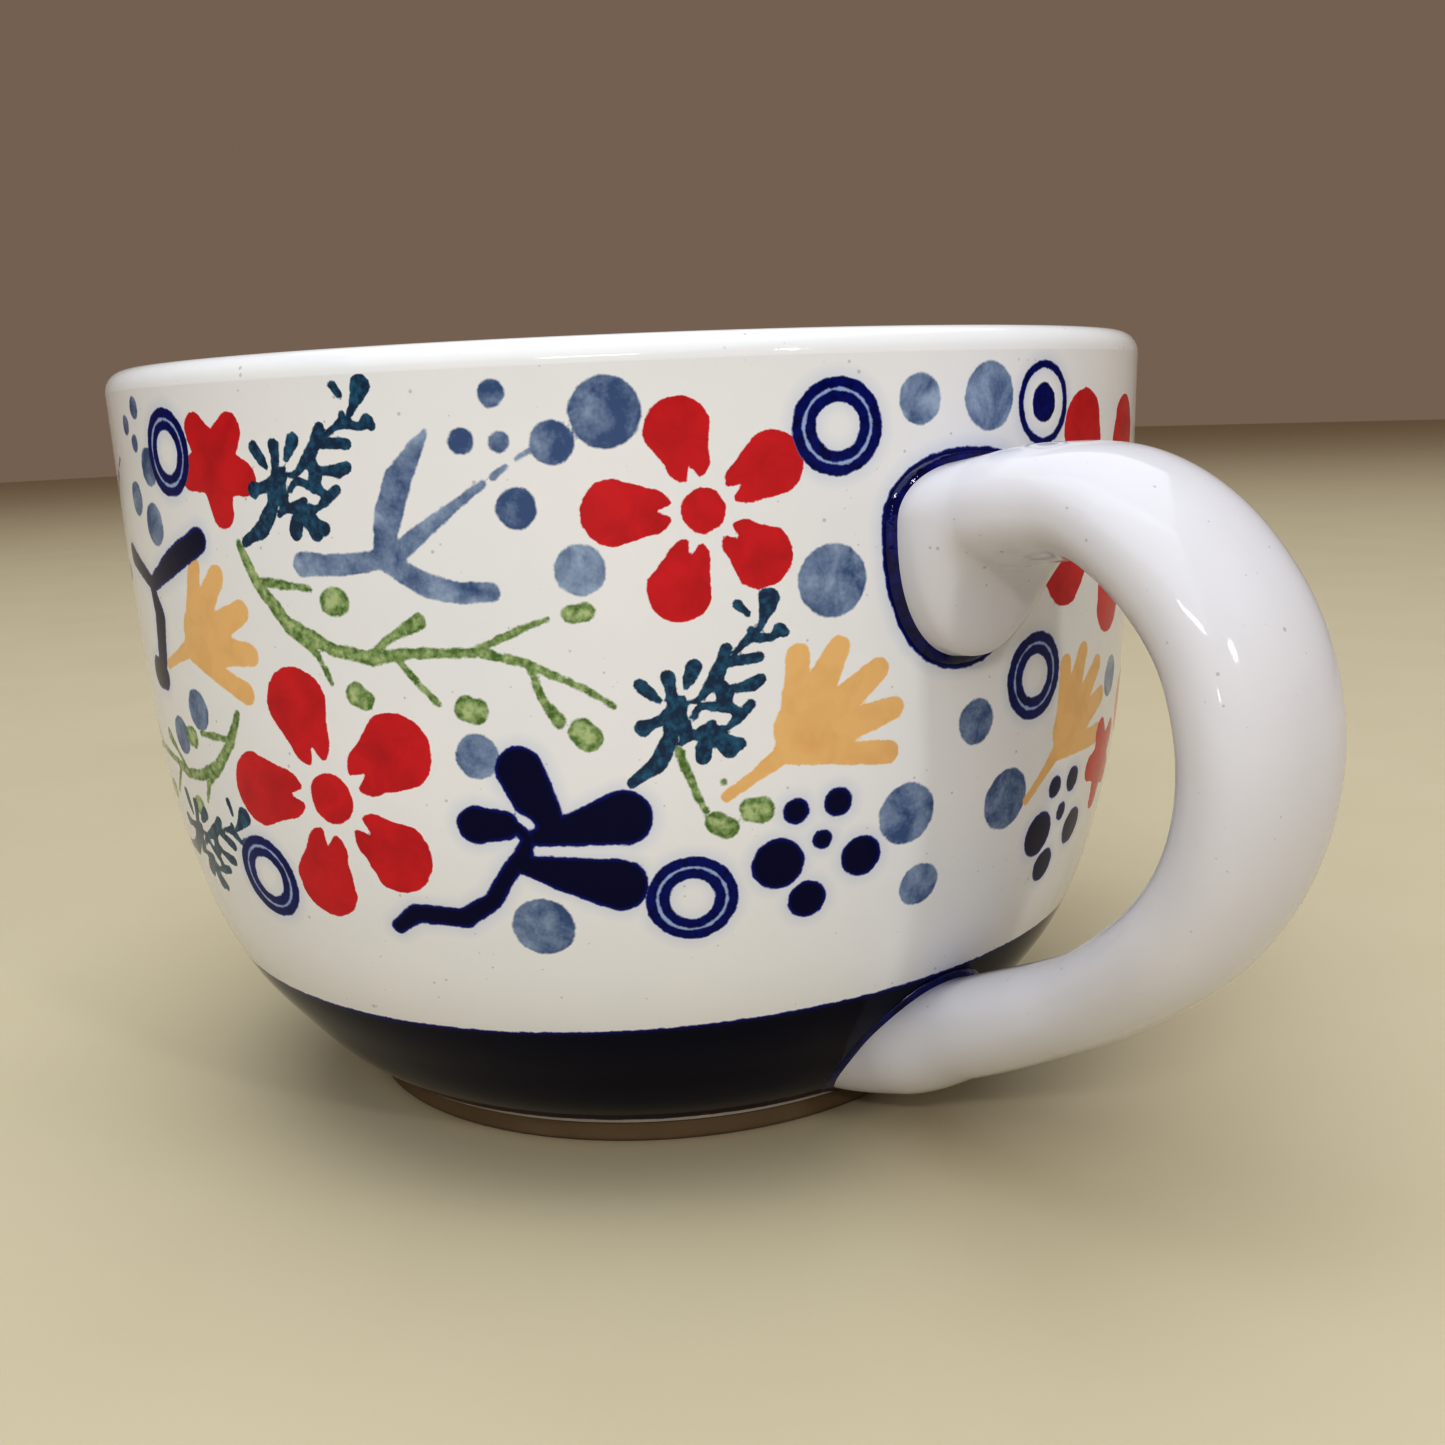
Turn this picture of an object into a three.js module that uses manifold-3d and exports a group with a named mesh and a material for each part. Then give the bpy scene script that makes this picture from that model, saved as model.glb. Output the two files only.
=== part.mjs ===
// A wide stoneware mug with a loop handle, in millimetres.
// +Z is up and the foot stands on z = 0. The handle points along +X from the cup, which is round about
// its own upright axis. Everything is drawn from that axis, and the whole mug is centred on X at the end.
import * as THREE from "three";
import { mergeVertices } from "three/addons/utils/BufferGeometryUtils.js";
import Module from "manifold-3d";

const wasm = await Module();
wasm.setup();

// Cup: the outside is given as the amount it lies inside the rim radius, at each height.
const rimRadius = 57;
const height = 81;
const lipWall = 4.6;
const wallInset = [[22, 2.6], [17.3, 6.2], [13, 11], [8.6, 17], [5.2, 25], [2.3, 38], [0.8, 57]];
const floorTop = 8.5;
const bowlInset = [[39, 8.7], [27, 10.4], [19, 14.6], [13.8, 20], [9.8, 28], [7.1, 40], [5.5, 58]];
const turnSteps = 64;

// Foot: a bare clay ring under the cup.
const footOuter = 34.2;
const footInner = 29.2;
const footEdge = 0.6;
const gap = 0.3;

// Handle: the middle of the loop as distance from the axis and height, from the upper joint to the lower one.
const handlePath = [
  [48, 63.6], [54, 63.9], [60, 64.5], [65, 65.2], [70.4, 64.8], [76.8, 60.8], [81.8, 54], [83.7, 45.5],
  [82.2, 36.8], [77.5, 29.2], [69.5, 22.6], [62, 18.4], [53.8, 14.6], [46, 11.4], [39, 9.6], [33, 9],
];
// Its section along the loop: fraction of the way, width across, how far it reaches to the loop's outer and
// inner side, and how far it sits to the left. The upper root is deep and round, and sits to the right.
const handleSection = [
  [0, 15.4, 5, 12.3, -4.7], [0.075, 15.8, 5.1, 12.3, -4.4], [0.118, 18, 5.5, 4.9, -2.5], [0.22, 19, 5.3, 4.4, -0.4],
  [0.35, 18, 5, 4.5, 0], [0.55, 16.4, 4.8, 4.8, 0], [0.7, 14, 4.4, 4.4, 0], [0.82, 13.6, 4.8, 4.8, 0],
  [0.9, 15, 5.7, 5.7, 0], [1, 17, 6, 6, 0],
];
const handleSteps = 56;
const handleHalfSides = 12; // an ellipse gets two sides for each

// Slip seams: the raised collars where the handle is stuck on.
const seamWidth = 1.7;
const seamHeight = 1.3;
const seamReach = 0.22;

const inwards = ([inset, z]) => new THREE.Vector2(rimRadius - inset, z);

// Points of a smooth line through a few given ones.
function smooth(points, pieces) {
  return new THREE.SplineCurve(points).getPoints(pieces);
}

// A closed body turned about Z from a profile of radius and height.
function turned(profile) {
  const body = new THREE.LatheGeometry(profile, turnSteps);
  body.rotateX(Math.PI / 2);
  return body;
}

// The outside of the cup, from its lower edge to the start of the lip.
function wallLine() {
  const top = new THREE.Vector2(rimRadius, height - lipWall / 2);
  return smooth([...wallInset.map(inwards), top], 16);
}

function cupProfile() {
  const outside = wallLine();
  const lip = new THREE.Path();
  lip.absarc(rimRadius - lipWall / 2, height - lipWall / 2, lipWall / 2, 0, Math.PI, false);
  const mouth = new THREE.Vector2(rimRadius - lipWall, height - lipWall / 2);
  const bowl = [new THREE.Vector2(0, floorTop), ...bowlInset.map(inwards), mouth];
  const inside = smooth(bowl, 15).reverse();
  return [new THREE.Vector2(0, wallInset[0][1]), ...outside, ...lip.getPoints(8).slice(1, -1), ...inside];
}

// The cup as one full block, grown outwards: it cuts the handle and the seams to the wall.
function fullCup(grow) {
  const line = wallLine().map((p) => new THREE.Vector2(p.x + grow, p.y));
  const low = new THREE.Vector2(line[0].x, -4);
  const high = new THREE.Vector2(rimRadius + grow, height + 5);
  return turned([new THREE.Vector2(0, low.y), low, ...line, high, new THREE.Vector2(0, high.y)]);
}

function footProfile() {
  const top = wallInset[0][1] - gap;
  const outline = [
    [footInner + footEdge, 0], [footOuter - footEdge, 0], [footOuter, footEdge], [footOuter, top],
    [footInner, top], [footInner, footEdge], [footInner + footEdge, 0],
  ];
  return outline.map(([r, z]) => new THREE.Vector2(r, z));
}

// Width, the two reaches and the offset of the handle at a fraction of its way.
function sectionAt(t) {
  const next = Math.max(1, handleSection.findIndex((row) => row[0] >= t));
  const [from, to] = [handleSection[next - 1], handleSection[next]];
  const share = THREE.MathUtils.smoothstep(t, from[0], to[0]);
  return [1, 2, 3, 4].map((k) => THREE.MathUtils.lerp(from[k], to[k], share));
}

// A stretch of the handle from fraction start to end: an oval bar bent along the loop.
function handleBar(start, end, grow) {
  const loop = new THREE.CatmullRomCurve3(handlePath.map(([r, z]) => new THREE.Vector3(r, 0, z)));
  const oval = new THREE.Shape();
  oval.absellipse(0, 0, 1, 1, 0, 2 * Math.PI, false, 0);
  const steps = Math.round(handleSteps * (end - start));
  const options = { depth: 1, steps, bevelEnabled: false, curveSegments: handleHalfSides };
  const bar = new THREE.ExtrudeGeometry(oval, options);
  const place = bar.getAttribute("position");
  for (let i = 0; i < place.count; i++) {
    const t = THREE.MathUtils.lerp(start, end, place.getZ(i));
    const [width, outer, inner, aside] = sectionAt(t);
    const along = loop.getTangentAt(t);
    const outwards = new THREE.Vector3(-along.z, 0, along.x);
    const reach = grow + (place.getX(i) > 0 ? outer : inner);
    const spot = loop.getPointAt(t).addScaledVector(outwards, place.getX(i) * reach);
    place.setXYZ(i, spot.x, aside - place.getY(i) * (width / 2 + grow), spot.z);
  }
  return bar;
}

function solid(geometry) {
  const bare = geometry.clone();
  bare.deleteAttribute("normal");
  bare.deleteAttribute("uv");
  const merged = mergeVertices(bare, 1e-4);
  const vertProperties = merged.getAttribute("position").array;
  const made = new wasm.Manifold(
    new wasm.Mesh({ numProp: 3, vertProperties, triVerts: new Uint32Array(merged.index.array) }),
  );
  return made;
}

function surface(made) {
  const mesh = made.getMesh();
  const geometry = new THREE.BufferGeometry();
  geometry.setAttribute("position", new THREE.BufferAttribute(mesh.vertProperties, mesh.numProp));
  geometry.setIndex(new THREE.BufferAttribute(mesh.triVerts, 1));
  geometry.computeVertexNormals();
  return geometry;
}

function handleBody() {
  return surface(solid(handleBar(0, 1, 0)).subtract(solid(fullCup(gap))));
}

// The collar around one end of the handle, lying on the cup's wall.
function seamBody(start, end) {
  const collar = solid(handleBar(start, end, seamWidth)).intersect(solid(fullCup(gap + seamHeight)));
  const handle = solid(handleBar(0, 1, gap));
  return surface(collar.subtract(solid(fullCup(gap))).subtract(handle));
}

function piece(name, geometry, color, roughness) {
  const mesh = new THREE.Mesh(geometry, new THREE.MeshStandardMaterial({ color, roughness, metalness: 0 }));
  mesh.name = name;
  return mesh;
}

const mug = new THREE.Group();
mug.add(
  piece("cup_body", turned(cupProfile()), 0xe4e1d9, 0.16),
  piece("foot_ring", turned(footProfile()), 0xb3a184, 0.9),
  piece("handle", handleBody(), 0xe2dfd8, 0.14),
  piece("upper_slip_seam", seamBody(0, seamReach), 0x0c1650, 0.2),
  piece("lower_slip_seam", seamBody(1 - seamReach, 1), 0x0c1650, 0.2),
);

const box = new THREE.Box3().setFromObject(mug);
mug.position.x = -(box.min.x + box.max.x) / 2;

export default mug;
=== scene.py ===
from math import cos, pi, radians, sin

import bpy
import numpy as np
from mathutils import Matrix, Vector


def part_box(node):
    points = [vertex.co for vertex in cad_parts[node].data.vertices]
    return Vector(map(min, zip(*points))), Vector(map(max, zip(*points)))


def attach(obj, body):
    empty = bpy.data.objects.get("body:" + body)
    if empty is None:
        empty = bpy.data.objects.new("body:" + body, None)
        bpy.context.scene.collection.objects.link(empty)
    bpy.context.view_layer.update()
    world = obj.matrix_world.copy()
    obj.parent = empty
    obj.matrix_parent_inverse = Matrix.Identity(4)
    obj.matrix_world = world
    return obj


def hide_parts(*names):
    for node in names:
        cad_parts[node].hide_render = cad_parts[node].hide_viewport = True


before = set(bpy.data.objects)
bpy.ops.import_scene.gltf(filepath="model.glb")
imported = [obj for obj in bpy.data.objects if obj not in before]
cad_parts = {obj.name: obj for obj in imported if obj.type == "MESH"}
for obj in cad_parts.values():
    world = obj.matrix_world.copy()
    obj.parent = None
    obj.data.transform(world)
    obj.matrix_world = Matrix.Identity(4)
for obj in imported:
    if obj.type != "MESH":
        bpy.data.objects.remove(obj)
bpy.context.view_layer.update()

mm = 0.001
cupLow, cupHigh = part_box("cup_body")
footLow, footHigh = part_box("foot_ring")
axisX = (cupLow.x + cupHigh.x) / 2  # the cup is round about this upright axis
rimRadius = (cupHigh.x - cupLow.x) / 2 / mm
cupTop = cupHigh.z / mm
cupUnder = cupLow.z / mm
print("frame loaded, cup", round(2 * rimRadius), "mm across and", round(cupTop), "mm high")

camera = {
    "azimuth": 54.3,  # degrees round the cup, from -Y towards the handle
    "distance": 193.3,  # mm from the cup's axis
    "height": 74.4,
    "turn": 2.7,  # degrees that it looks to the right of the axis
    "tilt": 10.8,  # degrees down
    "roll": -2.4,
    "lens": 40.7,
    "sensor": 36,
    "clip": (0.01, 20),  # metres
}


def placeCamera(c):
    data = bpy.data.cameras.new("studioCamera")
    data.lens = c["lens"]
    data.sensor_width = c["sensor"]
    data.clip_start, data.clip_end = c["clip"]
    seen = bpy.data.objects.new("studioCamera", data)
    a = radians(c["azimuth"])
    away = c["distance"] * mm
    spot = Vector((axisX + sin(a) * away, -cos(a) * away, c["height"] * mm))
    aim = Matrix.Rotation(a - radians(c["turn"]), 4, "Z")
    tip = Matrix.Rotation(radians(90 - c["tilt"]), 4, "X")
    roll = Matrix.Rotation(radians(c["roll"]), 4, "Z")
    seen.matrix_world = Matrix.Translation(spot) @ aim @ tip @ roll
    bpy.context.collection.objects.link(seen)
    bpy.context.scene.camera = seen


placeCamera(camera)
print("camera placed")


# Shader expressions: a Wire is one socket, and sums of Wires add their Math nodes.
class Wire:
    def __init__(self, finish, socket):
        self.finish = finish
        self.socket = socket

    def math(self, operation, *values, clamp=False):
        settings = {"operation": operation, "use_clamp": clamp}
        return self.finish.node("ShaderNodeMath", settings, dict(enumerate(values)))

    def __add__(self, other):
        return self.math("ADD", self, other)

    __radd__ = __add__

    def __sub__(self, other):
        return self.math("SUBTRACT", self, other)

    def __rsub__(self, other):
        return self.math("SUBTRACT", other, self)

    def __mul__(self, other):
        return self.math("MULTIPLY", self, other)

    __rmul__ = __mul__

    def __truediv__(self, other):
        return self.math("DIVIDE", self, other)

    def __abs__(self):
        return self.math("ABSOLUTE", self)

    def clamped(self):
        return self.math("ADD", self, 0, clamp=True)

    def lower(self, other):
        return self.math("MINIMUM", self, other)


class Finish:
    def __init__(self, name):
        self.material = bpy.data.materials.new(name)
        self.material.use_nodes = True
        self.tree = self.material.node_tree
        self.tree.nodes.clear()

    def node(self, kind, settings={}, inputs={}, out=0):
        made = self.tree.nodes.new(kind)
        for key, value in settings.items():
            setattr(made, key, value)
        for key, value in inputs.items():
            if isinstance(value, Wire):
                self.tree.links.new(value.socket, made.inputs[key])
            else:
                made.inputs[key].default_value = value
        return Wire(self, made.outputs[out]) if made.outputs else None

    def place(self):
        return self.node("ShaderNodeTexCoord", out="Object")

    def noise(self, size, detail, rough=0.5, warp=0.0):
        # size is the width of one lump in millimetres
        inputs = {"Vector": self.place(), "Scale": 1 / (size * mm), "Detail": detail,
                  "Roughness": rough, "Distortion": warp}
        return self.node("ShaderNodeTexNoise", {}, inputs)

    def paint(self, name):
        return self.node("ShaderNodeAttribute", {"attribute_name": name}, out="Fac")

    def mix(self, amount, under, over):
        settings = {"data_type": "RGBA", "clamp_factor": True}
        return self.node("ShaderNodeMix", settings, {0: amount, 6: under, 7: over}, out=2)

    def close(self, shaderInputs):
        shader = self.node("ShaderNodeBsdfPrincipled", {}, shaderInputs)
        self.node("ShaderNodeOutputMaterial", {}, {0: shader})
        return self.material


def shade(red, green, blue):
    # a colour as 0 to 255 on screen, turned into the linear one that a socket takes
    parts = [v / 255 for v in (red, green, blue)]
    return [v / 12.92 if v <= 0.04045 else ((v + 0.055) / 1.055) ** 2.4 for v in parts] + [1]


# Every visible piece is a smooth grid of faces that rides on the one body.
def gridPiece(name, points, normals, material, closed=False):
    # points: rows x columns x 3 in metres. A closed grid joins its last column to its first.
    rows, columns = points.shape[:2]
    number = np.arange(rows * columns).reshape(rows, columns)
    right = np.roll(number, -1, axis=1) if closed else number[:, 1:]
    left = number if closed else number[:, :-1]
    faces = np.stack([left[:-1], right[:-1], right[1:], left[1:]], -1).reshape(-1, 4)
    mesh = bpy.data.meshes.new(name)
    mesh.vertices.add(rows * columns)
    mesh.vertices.foreach_set("co", points.reshape(-1))
    mesh.loops.add(faces.size)
    mesh.loops.foreach_set("vertex_index", faces.reshape(-1).astype(np.int32))
    mesh.polygons.add(len(faces))
    mesh.polygons.foreach_set("loop_start", np.arange(0, faces.size, 4, dtype=np.int32))
    mesh.update(calc_edges=True)
    mesh.validate()
    mesh.shade_smooth()
    if normals is not None:
        mesh.normals_split_custom_set_from_vertices(normals.reshape(-1, 3))
    piece = bpy.data.objects.new(name, mesh)
    mesh.materials.append(material)
    bpy.context.collection.objects.link(piece)
    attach(piece, "root")
    return piece


def smoothLine(points, pieces):
    # a smooth line through the given points, in so many pieces
    given = np.array(points, float)
    padded = np.vstack([2 * given[0] - given[1], given, 2 * given[-1] - given[-2]])
    way = np.linspace(0, len(given) - 1, pieces + 1)
    k = np.minimum(way.astype(int), len(given) - 2)
    t = (way - k)[:, None]
    a, b, c, d = (padded[k + i] for i in range(4))
    square, cube = 2 * a - 5 * b + 4 * c - d, 3 * b - a - 3 * c + d
    return 0.5 * (2 * b + (c - a) * t + square * t**2 + cube * t**3)


def evenly(line, step):
    # the same line with its points about a step apart
    run = np.concatenate([[0], np.cumsum(np.linalg.norm(np.diff(line, axis=0), axis=1))])
    way = np.linspace(0, run[-1], max(2, int(round(run[-1] / step)) + 1))
    return np.stack([np.interp(way, run, line[:, i]) for i in range(line.shape[1])], -1)


def arc(centre, radius, start, end, pieces=16):
    a = np.radians(np.linspace(start, end, pieces + 1))
    return np.stack([centre[0] + radius * np.cos(a), centre[1] + radius * np.sin(a)], -1)


def fullTurn(steps):
    return np.linspace(0, 360, steps + 1)


def turnedPiece(name, profile, angles, material):
    # profile: radius and height in mm, with the outside on its right as it is followed
    along = np.gradient(profile, axis=0)
    along /= np.linalg.norm(along, axis=1)[:, None]
    a = np.radians(angles)
    closed = np.isclose(angles[-1] - angles[0], 360)
    if closed:
        a = a[:-1]

    def around(radius, height, middle):
        level = np.outer(height, np.ones_like(a))
        return np.stack([np.outer(radius, np.cos(a)) + middle, np.outer(radius, np.sin(a)), level], -1)

    points = around(profile[:, 0] * mm, profile[:, 1] * mm, axisX)
    normals = around(along[:, 1], -along[:, 0], 0)
    return gridPiece(name, points, normals, material, closed)


# The cup's outline, in mm: how far the wall lies inside the rim radius at each height.
cup = {
    "lipWall": 4.6,
    "wallInset": [(22, 2.6), (17.3, 6.2), (13, 11), (8.6, 17), (5.2, 25), (2.3, 38), (0.8, 57)],
    "underTurn": 0.5,  # the wall's lower edge is turned in by this
    "floorTop": 8.5,
    "bowlInset": [(39, 8.7), (27, 10.4), (19, 14.6), (13.8, 20), (9.8, 28), (7.1, 40), (5.5, 58)],
    "pinhole": 0.01,  # a turned surface stops this short of the axis
    "grain": 0.3,  # size of the painted wall's faces
    "bowlGrain": 0.8,
    "underGrain": 0.6,
    "panels": 4,
    "firstSeam": -135,  # degrees round the cup
}


def outline(rows, last):
    return [(rimRadius - inset, height) for inset, height in rows] + [last]


lipMiddle = (rimRadius - cup["lipWall"] / 2, cupTop - cup["lipWall"] / 2)
wallLine = smoothLine(outline(cup["wallInset"], (rimRadius, lipMiddle[1])), pieces=400)
bowlEdge = (rimRadius - cup["lipWall"], lipMiddle[1])
bowlLine = smoothLine([(0, cup["floorTop"])] + outline(cup["bowlInset"], bowlEdge), pieces=400)


def wallRadius(height):
    return np.interp(height, wallLine[:, 1], wallLine[:, 0])


def wallRun(height):
    # distance along the wall, up from its lower edge
    steps = np.linalg.norm(np.diff(wallLine, axis=0), axis=1)
    return np.interp(height, wallLine[:, 1], np.concatenate([[0], np.cumsum(steps)]))


# The handle's loop, in mm: distance from the axis and height, from the upper joint to the lower one.
handle = {
    "path": [(48, 63.6), (54, 63.9), (60, 64.5), (65, 65.2), (70.4, 64.8), (76.8, 60.8), (81.8, 54),
             (83.7, 45.5), (82.2, 36.8), (77.5, 29.2), (69.5, 22.6), (62, 18.4), (53.8, 14.6), (46, 11.4),
             (39, 9.6), (33, 9)],
    # fraction of the way, width across, reach to the loop's outer and inner side, and offset sideways
    "section": [(0, 15.4, 5, 12.3, -4.7), (0.075, 15.8, 5.1, 12.3, -4.4), (0.118, 18, 5.5, 4.9, -2.5),
                (0.22, 19, 5.3, 4.4, -0.4), (0.35, 18, 5, 4.5, 0), (0.55, 16.4, 4.8, 4.8, 0),
                (0.7, 14, 4.4, 4.4, 0), (0.82, 13.6, 4.8, 4.8, 0), (0.9, 15, 5.7, 5.7, 0), (1, 17, 6, 6, 0)],
    "squareness": 2.25,  # 2 is a true oval
    "tuck": 1.2,  # its ends run this far into the wall
    "jointSpan": 0.35,  # it meets the wall within this part of the way from each end
    "tries": 1400,  # places looked at there
    "step": 0.1,  # between the points of its middle line
    "rows": 260,
    "columns": 112,
}
slip = {
    "width": 0.85,  # how far the painted slip runs out over the wall
    "climb": 0.55,  # and up the handle
    "bleed": 0.35,  # thin blue edge beyond it
    "fullness": 0.95,  # 0 is hollow, 1 a round bead
    "wallLap": 0.15,  # its edges are sunk this far into the wall
    "barLap": 0.12,  # and into the handle
    "thin": (12, 24, 112),  # its colour where it is thin
    "patch": 1.2,  # mm across
    "lumps": 0.7,  # strength of its bumps
    "shine": 0.5,
    "rows": 12,
}

handleLine = evenly(smoothLine(handle["path"], pieces=800), handle["step"])
handleWay = np.linspace(0, 1, len(handleLine))
handleTangent = np.gradient(handleLine, axis=0)
handleTangent /= np.linalg.norm(handleTangent, axis=1)[:, None]
handleLength = handle["step"] * (len(handleLine) - 1)


def sectionSize(way, column):
    rows = np.array(handle["section"])
    k = np.clip(np.searchsorted(rows[:, 0], way) - 1, 0, len(rows) - 2)
    t = np.clip((way - rows[k, 0]) / (rows[k + 1, 0] - rows[k, 0]), 0, 1)
    t = t * t * (3 - 2 * t)
    return rows[k, column] * (1 - t) + rows[k + 1, column] * t


def handleSurface(way, turn, grow=0.0):
    # points of the handle in mm about the cup's axis, for a fraction of the way and an angle round the bar
    power = 2 / handle["squareness"]
    c = np.sign(np.cos(turn)) * np.abs(np.cos(turn)) ** power
    s = np.sign(np.sin(turn)) * np.abs(np.sin(turn)) ** power
    middle = [np.interp(way, handleWay, handleLine[:, i]) for i in (0, 1)]
    along = [np.interp(way, handleWay, handleTangent[:, i]) for i in (0, 1)]
    out = c * (np.where(c > 0, sectionSize(way, 2), sectionSize(way, 3)) + grow)
    side = s * (sectionSize(way, 1) / 2 + grow) + sectionSize(way, 4)
    return np.stack([middle[0] - along[1] * out, side, middle[1] + along[0] * out], -1)


def meetingWay(turn, grow, upper):
    # the fraction of the way at which each line of the handle comes out of the wall
    end, span = (0, handle["jointSpan"]) if upper else (1, -handle["jointSpan"])
    ways = np.linspace(end, end + span, handle["tries"])
    found = []
    for angle in turn:
        spots = handleSurface(ways, np.full_like(ways, angle), grow)
        outside = np.hypot(spots[:, 0], spots[:, 1]) - wallRadius(spots[:, 2])
        k = np.argmax(outside > 0)
        share = -outside[k - 1] / (outside[k] - outside[k - 1])
        found.append(ways[k - 1] + share * (ways[k] - ways[k - 1]))
    return np.array(found)


handleTurns = np.linspace(0, 2 * pi, handle["columns"], endpoint=False)
jointWays = [meetingWay(handleTurns, 0, True), meetingWay(handleTurns, 0, False)]
slipWays = [meetingWay(handleTurns, slip["width"], True), meetingWay(handleTurns, slip["width"], False)]
print("handle joints found")


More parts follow.
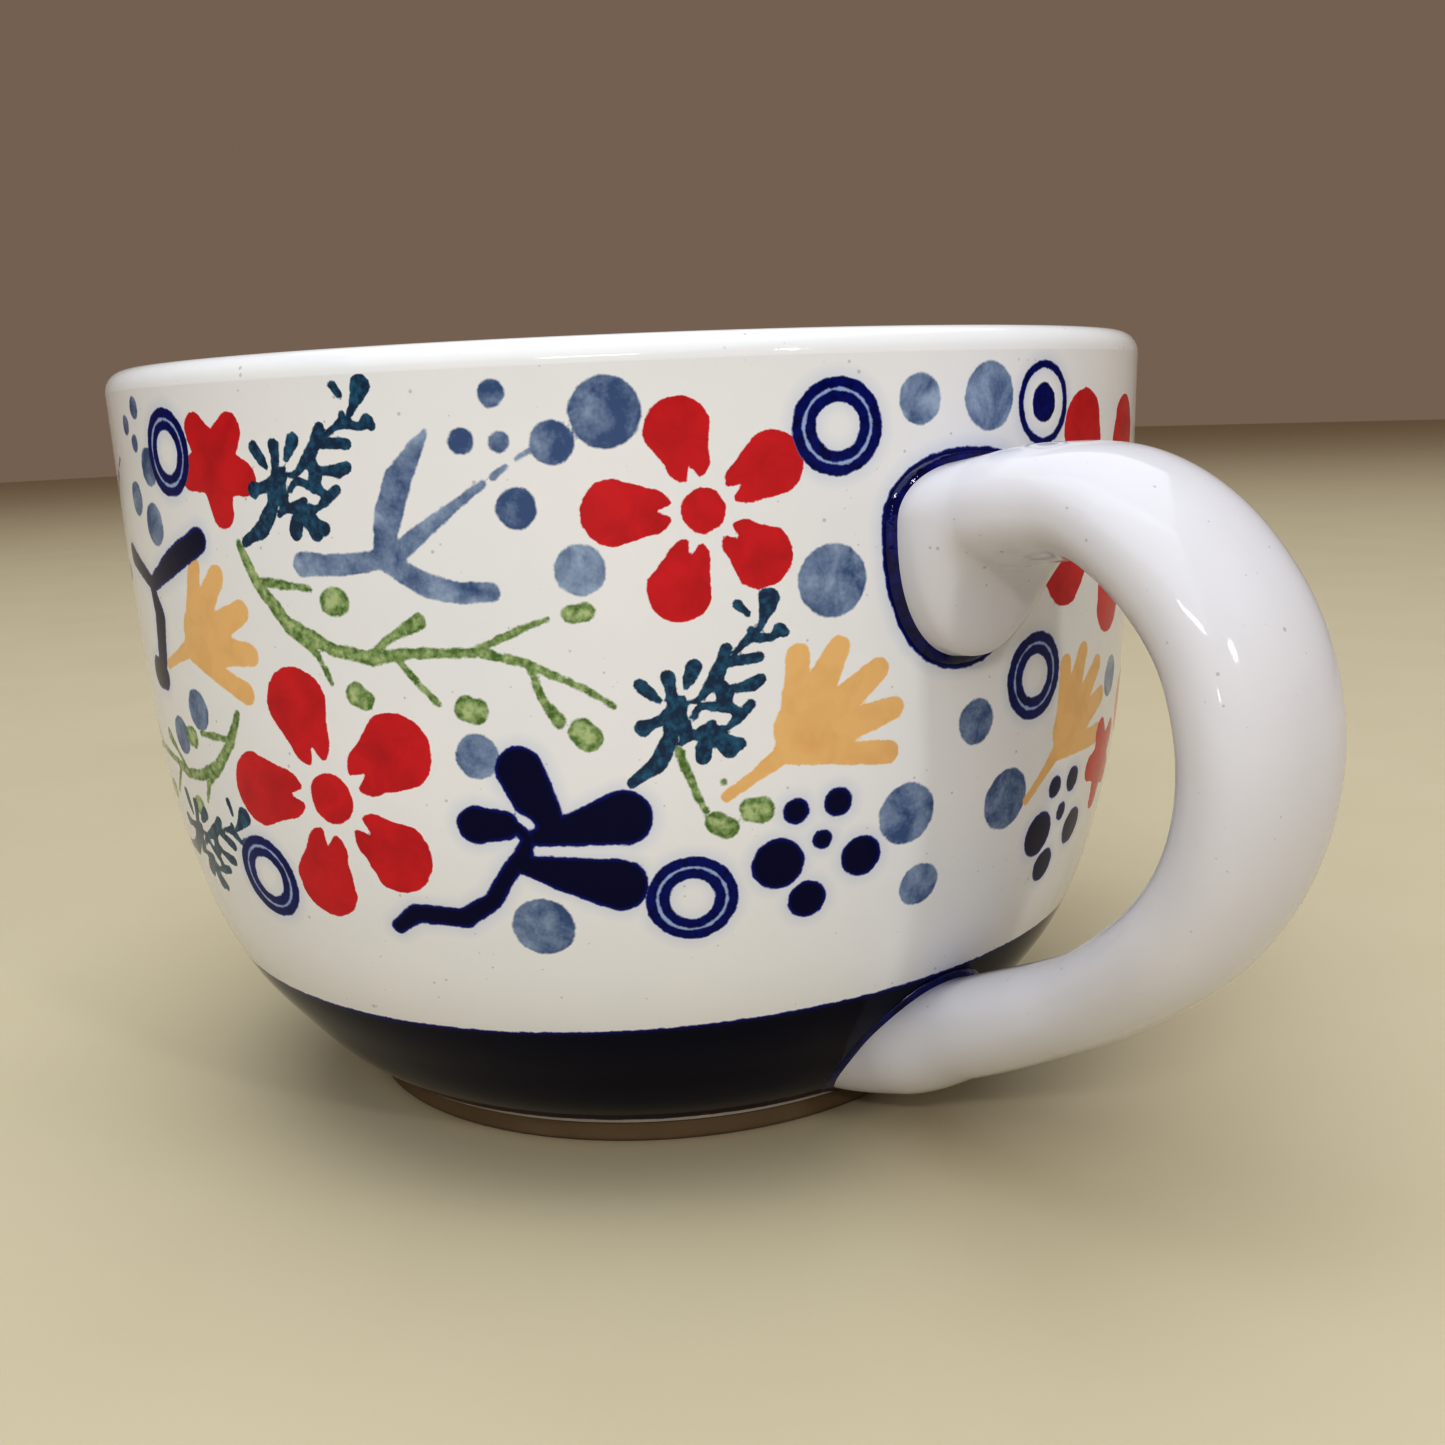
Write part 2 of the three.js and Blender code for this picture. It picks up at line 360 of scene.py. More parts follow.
# The painting. A stamp is a list of brush marks, and a mark is a line of spots: x, y and radius in mm.
stamps = {
    "dot": {"paint": "wash", "marks": [[(0, 0, 1)]]},
    "sprig": {"paint": "teal", "marks": [
        [(0.1, 0.2, 0.42), (1.2, 1, 0.5), (2.3, 1.7, 0.75), (3, 2.8, 0.75), (3.6, 4.1, 0.6),
         (3.9, 5.7, 0.75), (4.3, 6.7, 0.85)],
        [(1.3, 5.1, 0.7), (2.1, 5.4, 0.42), (3.1, 5.8, 0.5), (3.9, 6.3, 0.7)],
        [(1.2, 8.9, 0.52), (2.2, 7.9, 0.45), (2.8, 7.4, 0.2)],
        [(3.6, 9.4, 0.6), (3.8, 8.4, 0.42), (3.9, 7.2, 0.4)],
        [(5.8, 10.2, 0.66), (5.4, 9.2, 0.48), (5.1, 8.5, 0.22)],
        [(4.8, 7.5, 0.25), (4.4, 6.7, 0.6)],
        [(5.2, 7.1, 0.14), (6, 7.2, 0.2), (6.5, 7.6, 0.3), (7.2, 8.6, 0.45), (7.7, 9.3, 0.6),
         (8.1, 10.1, 0.55), (8.6, 11.6, 0.48)],
        [(5.7, 5.8, 0.22), (5.9, 6.4, 0.22), (6.5, 6.8, 0.3), (7.4, 6.6, 0.35), (8.3, 6.6, 0.5),
         (9.5, 6, 0.35)],
        [(7.7, 8.8, 0.5), (8.4, 7.8, 0.7), (8.3, 6.5, 0.5)],
        [(8.3, 10.4, 0.55), (9.6, 10.5, 0.42), (11.4, 10.7, 0.45)],
        [(9.3, 11.1, 0.2), (10.1, 11.9, 0.25), (10.9, 12.5, 0.48), (11.6, 12.4, 0.42), (12.6, 12.3, 0.24),
         (13.3, 12.9, 0.55), (13.8, 12.6, 0.35)],
        [(10.8, 13.1, 0.28), (11, 12.5, 0.4)],
        [(11.4, 12.9, 0.2), (11.8, 13.7, 0.3), (12.2, 14.9, 0.65), (12.4, 15.7, 0.92)],
        [(9.7, 15.4, 0.36), (10.6, 14.5, 0.2)],
        [(8.7, 8, 0.35), (9.6, 8.1, 0.36), (10.7, 8.3, 0.56), (11.5, 8.7, 0.5)],
        [(4.2, 6, 0.8), (4.9, 5.1, 0.5), (5, 4.1, 0.45), (4.5, 3.5, 0.22)],
        [(5.2, 4.3, 0.4), (5.9, 4.2, 0.4), (6.7, 4.6, 0.5), (7.2, 5.1, 0.35)],
        [(6.8, 4.2, 0.55), (6.5, 3.1, 0.7), (6.4, 2.2, 0.65)],
        [(7.5, 4.2, 0.6), (8.3, 3.3, 0.8), (8.7, 2.6, 0.7)],
        [(8.5, 3.2, 0.7), (9.6, 3.1, 0.55)],
        [(7.5, 4.5, 0.4), (8.7, 4.7, 0.22), (9.4, 5.4, 0.42), (10.6, 6.6, 0.42)],
    ]},
    "branch": {"paint": "wash", "marks": [
        [(-8.4, -0.1, 1.1), (-4, -0.2, 0.95), (0, 0.3, 0.85), (3.8, -1.9, 1.1), (7, -2.7, 0.95),
         (9.8, -2.6, 0.85)],
        [(0, 0.3, 0.9), (1, 4, 1.35), (2.2, 7, 1.25), (3.9, 9.4, 0.8), (5.1, 10.9, 0.25)],
        [(1.2, 0.6, 0.95), (5.4, 3.5, 0.65), (7.6, 5, 0.45), (9.8, 6.4, 0.35)],
        [(10.7, 7, 0.3), (11.8, 7.8, 0.28)],
        [(12.8, 8.4, 0.22), (14.2, 9.2, 0.22)],
    ]},
    "leaves": {"paint": "cobalt", "marks": [
        [(-13.8, -7.9, 0.8), (-11.5, -6.3, 1), (-6.4, -6.5, 1.05), (-3.4, -4.6, 0.9), (-1.6, -1.9, 0.85),
         (0, 0, 0.9), (0.6, 1.5, 0.6), (-0.2, 2.5, 0.6), (-1.5, 2.8, 1.4), (-4, 2.8, 1.85)],
        [(2.6, 1.9, 1.05), (2.6, 3.3, 1.35), (2.2, 4.3, 1.6), (1.3, 5.6, 2.05), (0.4, 7.9, 2.2)],
        [(1.5, 1.7, 0.9), (9.1, 3.3, 2.6)],
        [(0, -1, 1), (3.4, -1.9, 1.7), (8.4, -3.1, 2.6)],
    ]},
    "fan": {"paint": "ochre", "marks": [
        [(0, 0, 0.5), (2.4, 1.6, 0.6), (5, 3.4, 0.9), (7.2, 5.6, 2.9), (9.8, 4.6, 2.3)],
        [(6.2, 6.5, 1.4), (6.6, 12.2, 1.05)],
        [(7.4, 7, 1.8), (10.3, 12.5, 1.1)],
        [(8.6, 6, 1.8), (14.1, 10.2, 1.1)],
        [(9, 5, 1.8), (15.7, 6.5, 1.1)],
        [(5.5, 3.4, 0.9), (15.2, 2.5, 1.15)],
    ]},
    "vine": {"paint": "green", "marks": [
        [(0, 0, 0.45), (1.9, -3.6, 0.65), (5.2, -7.1, 0.75), (9.9, -9.2, 0.65), (14, -10, 0.65),
         (17.7, -9.5, 0.5), (24.5, -9.4, 0.42), (28.6, -10.4, 0.4), (33.8, -12.9, 0.32), (36, -14.4, 0.28)],
        [(2, -3.4, 0.5), (4.4, -3.5, 0.42), (8.3, -3.9, 0.3)],
        [(5.3, -7.4, 0.55), (8.3, -9.8, 0.4), (9.5, -12.3, 0.25)],
        [(14.2, -9.6, 0.45), (16.4, -8.1, 0.36), (19.2, -6.7, 0.75)],
        [(17, -10.2, 0.35), (18.5, -12.1, 0.32), (20.4, -14, 0.28)],
        [(24.5, -9.2, 0.35), (27.4, -7.9, 0.36), (30.7, -6.7, 0.22)],
        [(28.9, -10.5, 0.35), (29.8, -13.6, 0.35), (31.2, -15.6, 0.6)],
        [(10.6, -5, 1.3), (11.3, -5, 1.2)],
        [(12.1, -13.3, 1.2), (12.9, -13.7, 1)],
        [(23, -14.4, 1.25), (23.8, -14.6, 1.15)],
        [(32.8, -6.3, 0.8), (34, -6.2, 0.85)],
        [(33.1, -16.6, 1.2), (33.7, -17.2, 1.25)],
    ]},
    "twig": {"paint": "green", "marks": [
        [(0, 0, 0.45), (1.5, -4.3, 0.35), (2.3, -5.8, 0.3)],
        [(3.1, -6.8, 1.05), (4.1, -7.4, 1.05)],
        [(6.4, -5.9, 1.2), (7.2, -6, 1.25)],
        [(3.9, -3.1, 0.35)],
    ]},
    "blossom": {"paint": "red", "marks": [[(0, 0, 2.7), (4.1 * cos(a), 4.1 * sin(a), 1.6)]
                                          for a in np.radians((-17, 50, 127, 190, 276))]},
    "peas": {"paint": "cobalt", "marks": [
        [(0, 0, 1)], [(-2.6, 3, 1.25)], [(1.4, 3.4, 1.4)],
        [(-4.2, -1.9, 2.5)], [(3.9, -2.2, 2.05)], [(-1.3, -5.8, 1.9)],
    ]},
    "longLeaves": {"paint": "cobalt", "marks": [
        [(0, 0, 0.8), (6, 2.4, 1.3), (11.5, 4.5, 1.25)],
        [(-0.3, -0.5, 0.8), (0.6, -3, 1.35), (-0.8, -7, 1.3)],
        [(-1.2, -8.8, 1.5), (-3.2, -8.7, 1.6)],
        [(0, 0, 0.8), (-3.5, 1.4, 0.9), (-6.5, 2.6, 1.1)],
    ]},
}
flower = {
    "core": 1.9,
    "petal": (4.4, 1.9, 6.9, 2.85),  # where it starts and how round, where it ends and how round
    "nick": (2.6, 0.55, 3.7, 0.12),  # the small notch in each petal's foot
    "clear": 2.75,  # the petals keep this far from the middle
    "flower": [(31, 1), (106, 1), (179, 1.08), (251, 1), (320, 0.9)],  # direction and length of each petal
    "openFlower": [(0, 1), (48, 1), (125, 1), (211, 1), (290, 1)],
}
ring = {"open": 2.1, "inner": 3.05, "outer": 3.3, "edge": 4.25}  # hoops: open to inner, outer to edge
eye = {"pupil": 1.8, "inner": 3.12, "outer": 3.88}  # a dot in a hoop
band = {"height": 18.8, "sway": 0.95, "lowAt": -62, "foot": 3.4}  # lowAt is in degrees round the cup

# What is painted where: stamp, angle round the cup in degrees, height in mm, turn in degrees, size, and
# for the blue wash how dark it is.
meadow = [
    ("flower", 45, 66.3, 0, 1), ("flower", 7.6, 41.2, 1, 1.3),
    ("ring", 57.1, 72.7, 0, 0.98), ("ring", 42.8, 31.9, 0, 0.98),
    ("sprig", 37.6, 42.9, 0, 1), ("sprig", 0.8, 64.4, -10, 1),
    ("branch", 16.5, 62.8, 0, 1, 0.45), ("leaves", 27.2, 36.7, 0, 1),
    ("fan", 46.2, 41.3, 0, 1), ("vine", 0, 64.4, 0, 1), ("twig", 42, 45.8, 0, 1),
    ("peas", 55.5, 36.4, 0, 1),
    ("dot", 27.7, 76.6, 0, 1.15, 0.8), ("dot", 24.8, 72.8, 0, 1.15, 0.8), ("dot", 28.1, 72.6, 0, 0.9, 0.8),
    ("dot", 29.2, 67.1, 0, 1.75, 0.95), ("dot", 32.6, 72.4, 0, 1.85, 0.8), ("dot", 37.1, 74.7, 0, 3, 0.8),
    ("dot", 34.3, 61.8, 0, 2.2, 0.4), ("dot", 56.4, 59.7, 0, 3.2, 0.6), ("dot", 65.3, 74.7, 0, 2.2, 0.4),
    ("dot", 23.8, 45.8, 0, 2.05, 0.45), ("dot", 28.3, 29.6, 0, 2.9, 0.7), ("dot", 64.5, 37.6, 0, 3, 0.6),
    ("dot", 66.8, 30.2, 0, 2.2, 0.5),
]
hedge = [
    ("dot", 4.4, 74.7, 0, 3.05, 0.45), ("dot", 3.6, 45.2, 0, 2.2, 0.7), ("dot", 8.8, 36.8, 0, 3.1, 0.8),
    ("dot", 31.5, 45.5, 0, 2.2, 0.5), ("ring", 12.1, 48.4, 0, 1), ("eye", 12.1, 73.9, 0, 1),
    ("openFlower", 25.3, 63.4, 0, 1.38), ("fan", 12.3, 36, 6, 1), ("peas", 20.4, 33.2, -4, 0.97),
    ("blossom", 31.5, 36.4, -10, 0.95),
]
bank = [
    ("ring", 24.7, 72.7, 0, 0.97), ("ring", 30.4, 32, 0, 1.02), ("blossom", 32.8, 71.4, 0, 1),
    ("longLeaves", 16.3, 59.9, 0, 1.05), ("fan", 17.3, 52, -15, 1), ("sprig", 8, 31.5, -33, 1.02),
    ("vine", 31, 48.4, -6, -0.9),
    ("dot", 19.5, 65.9, 0, 2.1, 0.7), ("dot", 20, 71.4, 0, 1.9, 0.95), ("dot", 23.2, 48, 0, 2.1, 0.6),
    ("dot", 17.5, 44.8, 0, 2, 0.8), ("dot", 17.9, 77, 0, 1.1, 0.8), ("dot", 14.5, 75.4, 0, 1, 0.8),
    ("dot", 16.8, 73.6, 0, 0.9, 0.8), ("dot", 15, 68.3, 0, 1.7, 0.8),
]
bough = [("branch", -5, 63, 0, 1, 0.5)]
spray = [("branch", 0, 60.5, -8, 0.8, 0.5)]
# Each bed with its angle round the cup, and whether the brush strays in it.
garland = [(meadow, -75, False), (hedge, -6, False), (meadow, 38, True), (hedge, 108, True),
           (spray, 113, True), (bank, 142, True), (meadow, 180, True),
           (bough, -110, False), (bank, -110, False)]
stray = {"seed": 7, "most": (0.5, 0.5, 3)}  # in angle, height and turn
reach = {
    "stamp": 42,  # mm from a stamp's middle to the end of its farthest mark
    "joint": 24,  # and from the middle of a handle joint to the end of its slip
    "paint": 3.0,  # distances from a mark stop here
    "ring": 9.0,  # and those from the middle of a ring or eye here
}
washTone = 0.6


def markDistance(marks, x, y):
    # how far each point is outside a line of spots, negative inside it
    best = np.full(x.shape, np.inf)
    for start, end in zip(marks, marks[1:] or marks):
        run, rise = end[0] - start[0], end[1] - start[1]
        across, up = x - start[0], y - start[1]
        t = np.clip((across * run + up * rise) / max(run * run + rise * rise, 1e-9), 0, 1)
        far = np.hypot(across - t * run, up - t * rise)
        best = np.minimum(best, far - start[2] - t * (end[2] - start[2]))
    return best


def petalMarks(turn, length):
    near, nearRound, far, farRound = flower["petal"]
    nickNear, nickWide, nickFar, nickSharp = flower["nick"]
    c, s = cos(radians(turn)), sin(radians(turn))
    far *= length
    petal = [(near * c, near * s, nearRound), (far * c, far * s, farRound)]
    nick = [(nickNear * c, nickNear * s, nickWide), (nickFar * c, nickFar * s, nickSharp)]
    return petal, [nick, [(0, 0, flower["clear"])]]


def flowerMarks(name):
    return [([(0, 0, flower["core"])], [])] + [petalMarks(*petal) for petal in flower[name]]


class WallPaint:
    # distances in mm to each paint, over rows of heights and columns of angles
    brushed = ("red", "cobalt", "wash", "teal", "green", "ochre")

    def __init__(self, heights, angles):
        self.angles, self.run = angles, wallRun(heights)
        shape = (len(heights), len(angles))
        self.fields = {paint: np.full(shape, reach["paint"]) for paint in self.brushed}
        self.fields["ring"] = np.full(shape, reach["ring"])
        self.fields["eye"] = np.full(shape, reach["ring"])
        self.fields["tone"] = np.full(shape, washTone)
        sway = band["sway"] * np.cos(np.radians(2 * (angles - band["lowAt"])))
        under = (band["height"] - sway)[None, :] - heights[:, None]
        self.fields["band"] = np.minimum(under, heights[:, None] - band["foot"])

    def window(self, angle, height, size):
        # the part of the wall up to a size away from a place, with x and y in mm from there
        x = ((self.angles - angle + 180) % 360 - 180) * radians(1) * wallRadius(height)
        y = self.run - wallRun(height)
        rows, columns = np.where(np.abs(y) < size)[0], np.where(np.abs(x) < size)[0]
        if not len(rows) or not len(columns):
            return None
        return np.ix_(rows, columns), x[columns][None, :], y[rows][:, None]

    def stamp(self, name, angle, height, turn, size, tone=washTone):
        # a size below 0 mirrors the stamp
        scale = abs(size)
        found = self.window(angle, height, reach["stamp"] * scale)
        if not found:
            return
        part, x, y = found
        c, s = cos(radians(turn)), sin(radians(turn))
        x, y = (x * c + y * s) / size, (y * c - x * s) / scale
        if name in ("ring", "eye"):
            self.fields[name][part] = np.minimum(self.fields[name][part], np.hypot(x, y))
            return
        paint = "red" if name in flower else stamps[name]["paint"]
        marks = flowerMarks(name) if name in flower else [(mark, []) for mark in stamps[name]["marks"]]
        for mark, cut in marks:
            spread = np.array(mark)
            margin = spread[:, 2].max() + reach["paint"]
            near = (x > spread[:, 0].min() - margin) & (x < spread[:, 0].max() + margin)
            near &= (y > spread[:, 1].min() - margin) & (y < spread[:, 1].max() + margin)
            if not near.any():
                continue
            far = markDistance(mark, x[near], y[near])
            for hole in cut:
                far = np.maximum(far, -markDistance(hole, x[near], y[near]))
            field = self.fields[paint][part]
            if paint == "wash":
                tones = self.fields["tone"][part]
                tones[near] = np.where(far * scale < field[near], tone, tones[near])
                self.fields["tone"][part] = tones
            field[near] = np.minimum(field[near], far * scale)
            self.fields[paint][part] = field

    def outlineOfJoint(self, ways):
        # the cobalt slip as it lies on the wall round one end of the handle
        edge = handleSurface(ways, handleTurns)
        middle = edge.mean(axis=0)
        found = self.window(0, middle[2], reach["joint"])
        if not found:
            return
        part, x, y = found
        radius, run = wallRadius(middle[2]), wallRun(middle[2])
        wide = slip["width"] + slip["bleed"]
        spots = [(np.arctan2(p[1], p[0]) * radius, wallRun(p[2]) - run, wide) for p in edge[::4]]
        far = markDistance(spots + spots[:1], *np.broadcast_arrays(x, y))
        self.fields["cobalt"][part] = np.minimum(self.fields["cobalt"][part], far)


def paintWall(heights, angles):
    wall = WallPaint(heights, angles)
    chance = np.random.default_rng(stray["seed"])
    for bed, start, strays in garland:
        for name, angle, height, turn, size, *tone in bed:
            nudge = chance.normal(0, 1, 3) * stray["most"] if strays else np.zeros(3)
            wall.stamp(name, start + angle + nudge[0], height + nudge[1], turn + nudge[2], size, *tone)
    for ways in jointWays:
        wall.outlineOfJoint(ways)
    return wall.fields


# Colours and finish of the glaze and of the paints under it.
glaze = {
    "wall": (230, 230, 233), "wallCool": (222, 225, 231),
    # the handle's whites are the wall's glaze painted darker: painted shade on the handle
    "handle": (218, 217, 222), "handleCool": (209, 210, 219),
    "clouds": 14,  # mm across
    "speck": (128, 112, 96), "speckSpacing": 1.5, "speckStrength": 0.38,
    "roughness": 0.05, "smears": 7,
    "shine": 0.2,
    "orangePeel": 0.05, "ripples": (4, 0.9), "rippleDepth": 0.4,  # mm
}
paints = {
    "red": (200, 28, 40), "redDeep": (166, 16, 28),
    "cobalt": (3, 6, 58), "cobaltEdge": (18, 34, 132), "cobaltBand": (2, 3, 32),
    "haze": (142, 166, 214), "hazeReach": 1.3, "hazeStrength": 0.2,  # reach in mm
    "navy": (10, 26, 112), "ringLine": (146, 168, 212),
    "wash": (58, 86, 132), "washThin": (156, 174, 200),
    "teal": (2, 46, 80), "tealThin": (34, 104, 136),
    "green": (74, 112, 34), "greenThin": (172, 190, 140),
    "ochre": (226, 186, 128), "ochreDeep": (208, 162, 104),
    "wobble": 0.22,  # mm by which the brush leaves a paint's edge
    "mottle": 1.3, "grain": 0.35, "pool": 3.2, "patch": 0.8,  # mm across, the uneven places of a stroke
}


def tint(name):
    return shade(*paints[name])


def glazeBase(finish, place):
    # white with faint cloudy patches and a few dark iron specks
    clouds = finish.noise(glaze["clouds"], 3)
    white = finish.mix(clouds, shade(*glaze[place + "Cool"]), shade(*glaze[place]))
    cells = {"Vector": finish.place(), "Scale": 1 / (glaze["speckSpacing"] * mm), "Randomness": 1.0}
    spot = finish.node("ShaderNodeTexVoronoi", {"feature": "F1"}, cells)
    size = finish.noise(4, 1) * 0.34 - 0.1  # of the speck in each cell, mostly none
    specks = ((size - spot) * 16).clamped() * glaze["speckStrength"]
    return finish.mix(specks, white, shade(*glaze["speck"]))


def glazed(finish, colour, lumps=glaze["orangePeel"], shine=glaze["shine"]):
    # the glossy coat: a little uneven, so that lights ripple in it
    broad, fine = (finish.noise(size, 2) for size in glaze["ripples"])
    relief = {"Strength": lumps, "Distance": glaze["rippleDepth"] * mm, "Height": broad * 0.7 + fine * 0.3}
    bump = finish.node("ShaderNodeBump", {}, relief)
    rough = finish.noise(glaze["smears"], 2) * 0.06 + glaze["roughness"]
    return finish.close({"Base Color": colour, "Roughness": rough, "Normal": bump, "IOR": 1.5,
                         "Specular IOR Level": shine})


def hoop(distance, inside, outside):
    # how far a place is outside a hoop between two radii, from its distance to the middle
    return abs(distance - (inside + outside) / 2) - (outside - inside) / 2


def paintedGlaze():
    finish = Finish("paintedGlaze")
    mottle = finish.noise(paints["mottle"], 3, 0.6)
    grain = finish.noise(paints["grain"], 2, 0.6)
    pool = finish.noise(paints["pool"], 3, 0.55, 0.4)
    patch = finish.noise(paints["patch"], 2, 0.6)
    wobble = (mottle - 0.5) * paints["wobble"] * 2 + (grain - 0.5) * 0.16
    field = {name: finish.paint(name) for name in WallPaint.brushed + ("ring", "eye", "tone", "band")}

    def lay(under, paint, distance, edge=wobble, soft=0.16, strength=1.0):
        # a paint over what is there, where its distance is less than the edge
        inside = ((edge - distance) / soft + 0.5).clamped()
        return finish.mix(inside * strength, under, paint)

    # the cobalt tints the glaze faintly around its marks
    wholeRing = hoop(field["ring"], ring["open"], ring["edge"])
    eyeHoop = hoop(field["eye"], eye["inner"], eye["outer"])
    near = field["cobalt"].lower(wholeRing).lower(eyeHoop)
    haze = (1 - near / paints["hazeReach"]).clamped() * paints["hazeStrength"]
    colour = finish.mix(haze, glazeBase(finish, "wall"), tint("haze"))

    # blue wash: thin and watery, pooled dark in places
    amount = (field["tone"] * 0.9 + (pool - 0.5) * 2.4 + (grain - 0.5) * 0.5 + 0.12).clamped()
    wash = finish.mix(amount, tint("washThin"), tint("wash"))
    colour = lay(colour, wash, field["wash"], soft=0.2, strength=0.96)

    # green: patchy, with the white showing through, and darker towards the edges
    rim = (field["green"] * 1.1 + 1).clamped()
    amount = ((patch - 0.42) * 2.6 + rim * 0.6).clamped()
    green = finish.mix(amount, tint("greenThin"), tint("green"))
    colour = lay(colour, green, field["green"], wobble * 1.3, soft=0.2, strength=0.95)

    ochre = finish.mix(((pool - 0.45) * 1.6).clamped(), tint("ochre"), tint("ochreDeep"))
    colour = lay(colour, ochre, field["ochre"], strength=0.97)

    red = finish.mix(((pool - 0.4) * 2).clamped(), tint("red"), tint("redDeep"))
    colour = lay(colour, red, field["red"], soft=0.12, strength=0.98)

    teal = finish.mix(((patch - 0.34) * 3 + 0.3).clamped(), tint("tealThin"), tint("teal"))
    colour = lay(colour, teal, field["teal"], wobble + 0.07, soft=0.12, strength=0.97)

    # rings and eyes: navy, with a pale line between a ring's two hoops
    colour = lay(colour, tint("ringLine"), wholeRing, soft=0.15, strength=0.85)
    outer = hoop(field["ring"], ring["outer"], ring["edge"])
    inner = hoop(field["ring"], ring["open"], ring["inner"])
    marks = outer.lower(inner).lower(eyeHoop).lower(field["eye"] - eye["pupil"])
    navy = finish.mix(((patch - 0.4) * 2.5).clamped(), tint("navy"), tint("cobalt"))
    colour = lay(colour, navy, marks)

    # cobalt: nearly black, bleeding blue at its edges
    depth = field["cobalt"].lower(0 - field["band"])
    deep = finish.mix(field["band"].clamped(), tint("cobalt"), tint("cobaltBand"))
    cobalt = finish.mix((0.1 - depth * 2.2).clamped(), tint("cobaltEdge"), deep)
    colour = lay(colour, cobalt, depth)
    return glazed(finish, colour)


def plainGlaze(name, place):
    finish = Finish(name)
    return glazed(finish, glazeBase(finish, place))


def cobaltSlip():
    finish = Finish("cobaltSlip")
    patch = finish.noise(slip["patch"], 3, 0.6)
    colour = finish.mix(((patch - 0.37) * 3).clamped(), tint("cobalt"), shade(*slip["thin"]))
    return glazed(finish, colour, slip["lumps"], slip["shine"])


# The foot ring, in mm, and the colours of its bare clay, darkened as painted shadow under the cup.
foot = {
    "width": 5,
    "soft": 0.6,  # radius of its lower edges
    "lap": 0.2,  # it runs this far up into the cup
    "grain": 0.25,
    # clay colours painted darker: painted shadow on the foot under the cup
    "clay": (122, 105, 82), "clayDark": (102, 86, 65), "clouds": 6,
    "grit": (112, 88, 64), "gritSize": 0.5, "gritDepth": 0.12,
    "roughness": 0.75,
}


def bareClay():
    finish = Finish("bareClay")
    grit = finish.noise(foot["gritSize"], 4, 0.7)
    clouds = finish.noise(foot["clouds"], 2)
    # the clay is painted darker here, as the shadow that falls on the foot under the cup
    colour = finish.mix(clouds, shade(*foot["clay"]), shade(*foot["clayDark"]))
    colour = finish.mix(((grit - 0.58) * 5).clamped() * 0.6, colour, shade(*foot["grit"]))
    relief = {"Strength": 0.5, "Distance": foot["gritDepth"] * mm, "Height": grit}
    bump = finish.node("ShaderNodeBump", {}, relief)
    return finish.close({"Base Color": colour, "Roughness": grit * 0.2 + foot["roughness"], "Normal": bump})


painted, slipFinish, clay = paintedGlaze(), cobaltSlip(), bareClay()
# the handle gets a darker copy of the wall's white glaze, as painted shade
cupWhite, shadedHandleWhite = plainGlaze("cupWhite", "wall"), plainGlaze("shadedHandleWhite", "handle")
print("materials made")


def addField(piece, name, values):
    field = piece.data.attributes.new(name, "FLOAT", "POINT")
    field.data.foreach_set("value", np.ascontiguousarray(values, np.float32).reshape(-1))


def makeWall():
    line = evenly(wallLine, cup["grain"])
    count = int(2 * pi * rimRadius / cup["grain"] / cup["panels"])
    sweep = 360 / cup["panels"]
    for k in range(cup["panels"]):
        start = cup["firstSeam"] + sweep * k
        angles = np.linspace(start, start + sweep, count + 1)
        panel = turnedPiece("paintedWall" + str(k + 1), line, angles, painted)
        for name, values in paintWall(line[:, 1], angles).items():
            addField(panel, name, values)
        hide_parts("cup_body")


def makeBowl():
    # the rounded lip and the inside of the cup
    lip = arc(lipMiddle, cup["lipWall"] / 2, 0, 180)
    inside = evenly(bowlLine, cup["bowlGrain"])[::-1][1:-1]
    profile = np.vstack([lip, inside, [(cup["pinhole"], cup["floorTop"])]])
    bowl = turnedPiece("bowlAndLip", profile, fullTurn(256), cupWhite)
    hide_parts("cup_body")


def makeUnderside():
    # the glazed turn under the wall and the flat inside the foot
    edge = wallLine[0]
    profile = np.array([(cup["pinhole"], cupUnder), (edge[0] - cup["underTurn"], cupUnder), tuple(edge)])
    under = turnedPiece("underside", evenly(profile, cup["underGrain"]), fullTurn(192), cupWhite)
    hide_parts("cup_body")


def makeFoot():
    outer = (footHigh.x - footLow.x) / 2 / mm
    inner, soft = outer - foot["width"], foot["soft"]
    top = cupUnder + foot["lap"]
    inEdge = arc((inner + soft, soft), soft, 180, 270, 6)
    outEdge = arc((outer - soft, soft), soft, 270, 360, 6)
    profile = np.vstack([[(inner, top)], inEdge, outEdge, [(outer, top)]])
    stand = turnedPiece("footRing", evenly(profile, foot["grain"]), fullTurn(384), clay)
    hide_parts("foot_ring")


def makeHandle():
    inside = handle["tuck"] / handleLength
    starts, ends = jointWays[0] - inside, jointWays[1] + inside
    ways = starts + (ends - starts) * np.linspace(0, 1, handle["rows"])[:, None]
    spots = handleSurface(ways.reshape(-1), np.tile(handleTurns, handle["rows"]))
    points = spots.reshape(handle["rows"], -1, 3) * mm + (axisX, 0, 0)
    bar = gridPiece("loopHandle", points[:, ::-1], None, shadedHandleWhite, closed=True)
    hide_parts("handle")


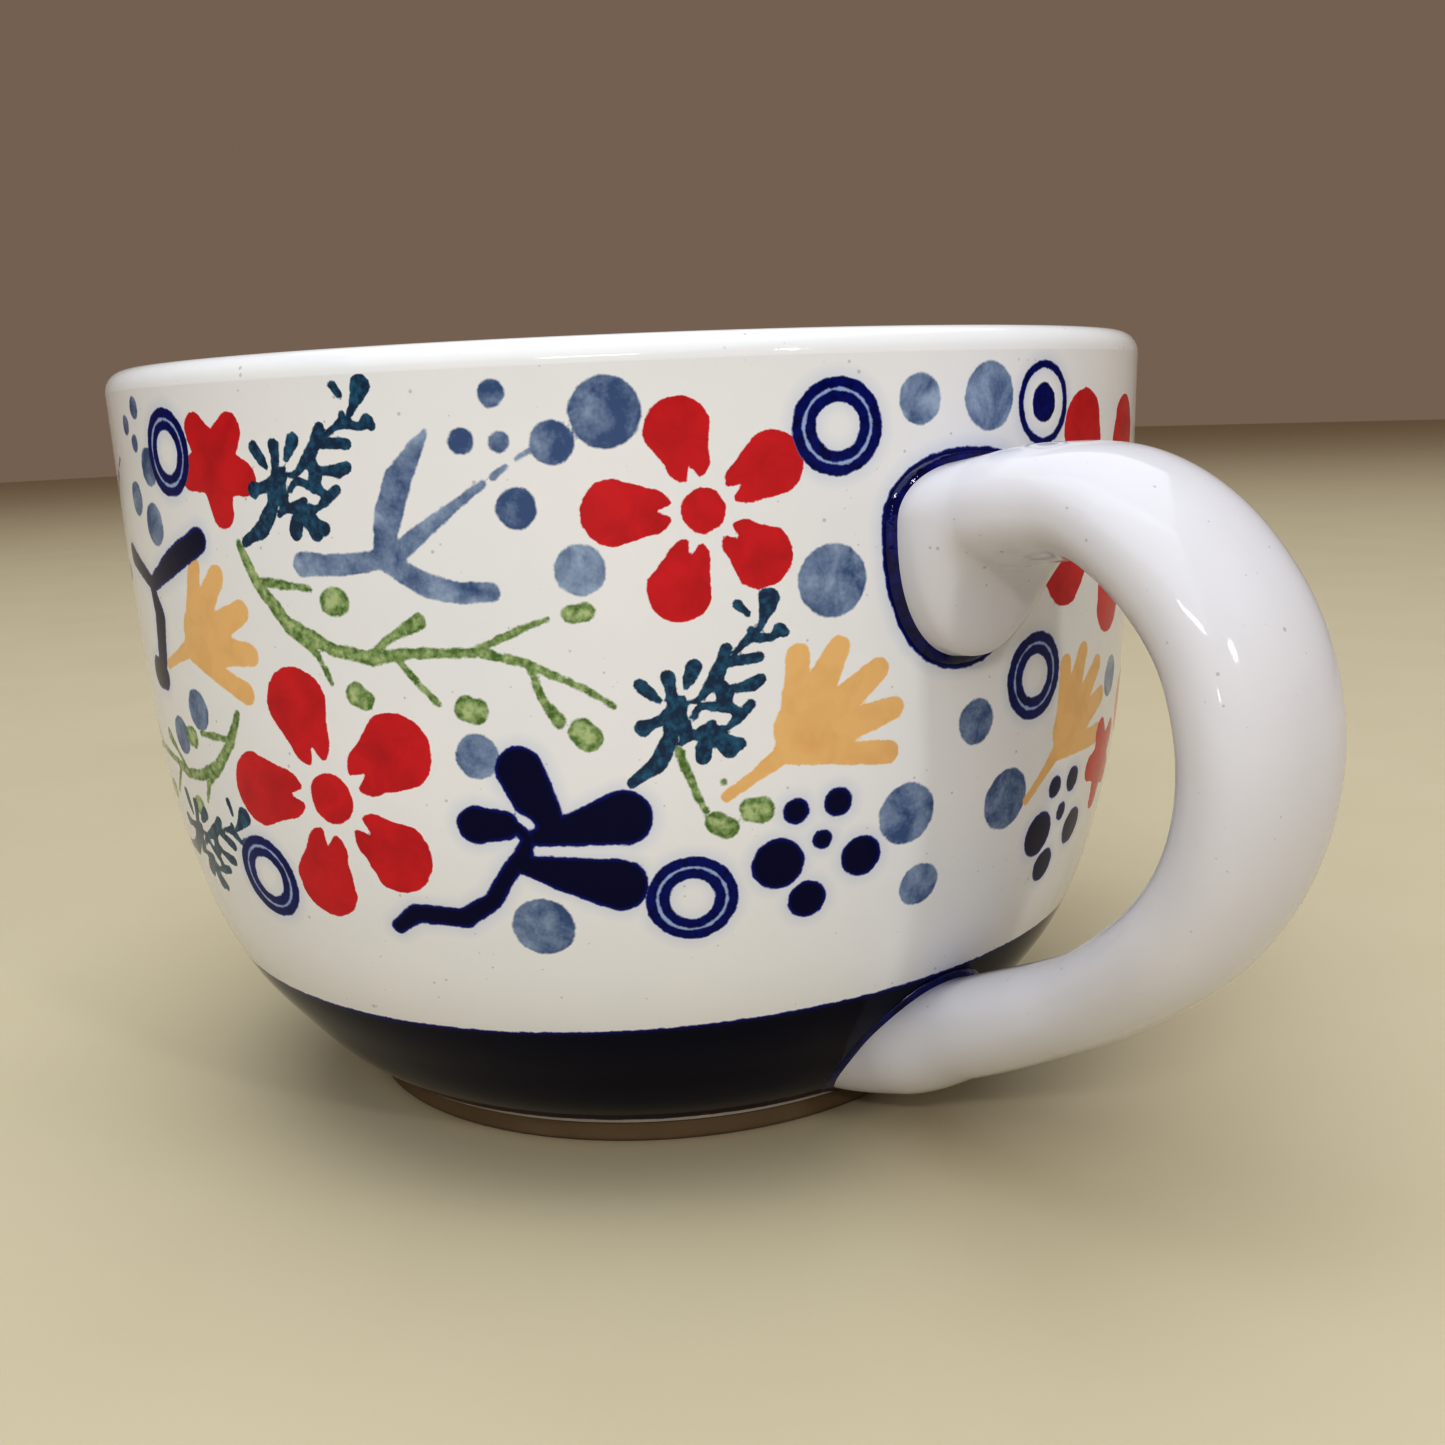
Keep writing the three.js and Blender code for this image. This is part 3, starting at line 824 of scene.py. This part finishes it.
def makeSlip(name, joint, outer, upper, node):
    # a bead of slip from the wall to the handle
    step = slip["climb"] / handleLength * (1 if upper else -1)
    onWall = handleSurface(outer, handleTurns, slip["width"])
    corner = handleSurface(joint, handleTurns)
    onBar = handleSurface(joint + step, handleTurns, -slip["barLap"])
    inwards = 1 - slip["wallLap"] / np.hypot(onWall[:, 0], onWall[:, 1])
    onWall[:, :2] *= inwards[:, None]
    share = np.linspace(0, 1, slip["rows"])[:, None, None]
    bead = corner + (onWall + onBar - 2 * corner) * slip["fullness"]
    points = onWall * (1 - share) ** 2 + bead * 2 * share * (1 - share) + onBar * share**2
    points = points * mm + (axisX, 0, 0)
    fillet = gridPiece(name, points if upper else points[:, ::-1], None, slipFinish, closed=True)
    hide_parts(node)


makeWall()
print("wall painted")
makeBowl()
makeUnderside()
makeFoot()
print("cup and foot made")
makeHandle()
makeSlip("upperSlipSeam", jointWays[0], slipWays[0], True, "upper_slip_seam")
makeSlip("lowerSlipSeam", jointWays[1], slipWays[1], False, "lower_slip_seam")
print("handle stuck on")


studio = {
    "floor": (206, 197, 173),
    "floorPatch": (199, 190, 164),
    "patchSize": 40,  # mm
    "floorReach": 3.0,  # metres from the middle to its edge
    "sky": (222, 194, 172),
    "skyStrength": 0.24,
    "aim": 0.045,  # height in metres that the lamps look at
}


def makeFloor():
    finish = Finish("paleFloor")
    patches = finish.noise(studio["patchSize"], 3)
    colour = finish.mix(patches, shade(*studio["floor"]), shade(*studio["floorPatch"]))
    material = finish.close({"Base Color": colour, "Roughness": 0.6})
    mesh = bpy.data.meshes.new("studioFloor")
    far = studio["floorReach"]
    mesh.from_pydata([(-far, -far, 0), (far, -far, 0), (far, far, 0), (-far, far, 0)], [], [(0, 1, 2, 3)])
    mesh.materials.append(material)
    floor = bpy.data.objects.new("studioFloor", mesh)
    bpy.context.collection.objects.link(floor)


# Soft boxes: azimuth as the camera's, elevation, metres away, width and height in metres, watts, colour.
lamps = {
    "keyBox": (30, 60, 1.4, (1.9, 1.5), 10.8, (0.87, 0.95, 1)),
    "backBox": (228, 76, 1.4, (1.7, 1.7), 9.2, (0.88, 0.96, 1)),
    "fillRight": (130, 25, 1.3, (0.8, 0.8), 0.5, (0.95, 0.97, 1)),
    "paneLeft": (46, 28, 1.4, (0.44, 0.035), 2.8, (1, 1, 1)),
    "paneRight": (88, 25, 1.4, (0.09, 0.11), 1.7, (1, 1, 1)),
    "paneLow": (48, 9, 1.4, (0.05, 0.07), 0.4, (1, 1, 1)),
}


def makeLamp(name, azimuth, elevation, distance, size, power, colour):
    data = bpy.data.lights.new(name, "AREA")
    data.shape = "RECTANGLE"
    data.size, data.size_y = size
    data.energy = power
    data.color = colour
    lamp = bpy.data.objects.new(name, data)
    a, e = radians(azimuth), radians(elevation)
    back = Vector((sin(a) * cos(e), -cos(a) * cos(e), sin(e)))
    aim = Vector((axisX, 0, studio["aim"]))
    lamp.location = aim + back * distance
    lamp.rotation_mode = "QUATERNION"
    lamp.rotation_quaternion = back.to_track_quat("Z", "Y")
    bpy.context.collection.objects.link(lamp)


def makeSky():
    world = bpy.data.worlds.new("studioSky")
    world.use_nodes = True
    sky = world.node_tree.nodes["Background"]
    sky.inputs["Color"].default_value = shade(*studio["sky"])
    sky.inputs["Strength"].default_value = studio["skyStrength"]
    bpy.context.scene.world = world
    bpy.context.scene.view_settings.view_transform = "Standard"
    bpy.context.scene.view_settings.look = "High Contrast"


makeFloor()
makeSky()
for name, setting in lamps.items():
    makeLamp(name, *setting)
print("studio lit")
